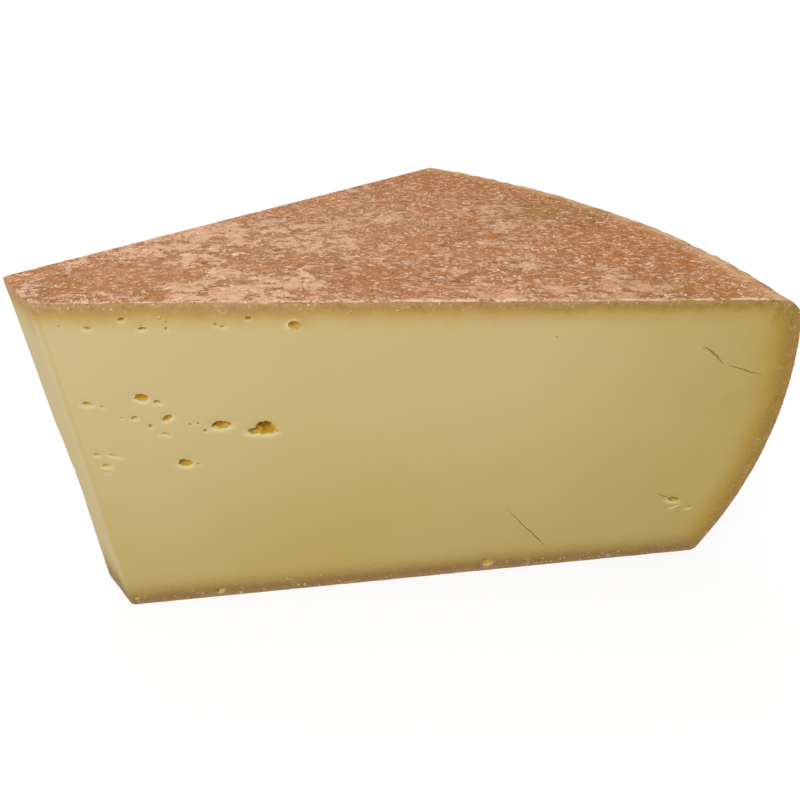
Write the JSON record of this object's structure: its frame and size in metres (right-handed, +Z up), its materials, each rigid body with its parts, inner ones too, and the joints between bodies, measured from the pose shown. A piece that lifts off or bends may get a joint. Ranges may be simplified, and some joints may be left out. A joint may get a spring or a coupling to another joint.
{
  "type": "alpine cheese wedge",
  "caption": "Blunt-tipped wedge cut from a large wheel of hard alpine cheese, with a browned rind over its top and swollen heel and eyes in its cut face.",
  "frame": {"origin": "on the board, under the middle of the wedge's overall box", "axes": "+Z up; +X from the blunt tip towards the heel along the front cut; the front cut looks along -Y"},
  "size_m": [0.2779, 0.226, 0.1339],
  "materials": {
    "cheese": "waxy, semi-matt cut cheese under a browned rind"
  },
  "bodies": {
    "root": {"cheese_wedge": "cheese"}
  },
  "joints": []
}
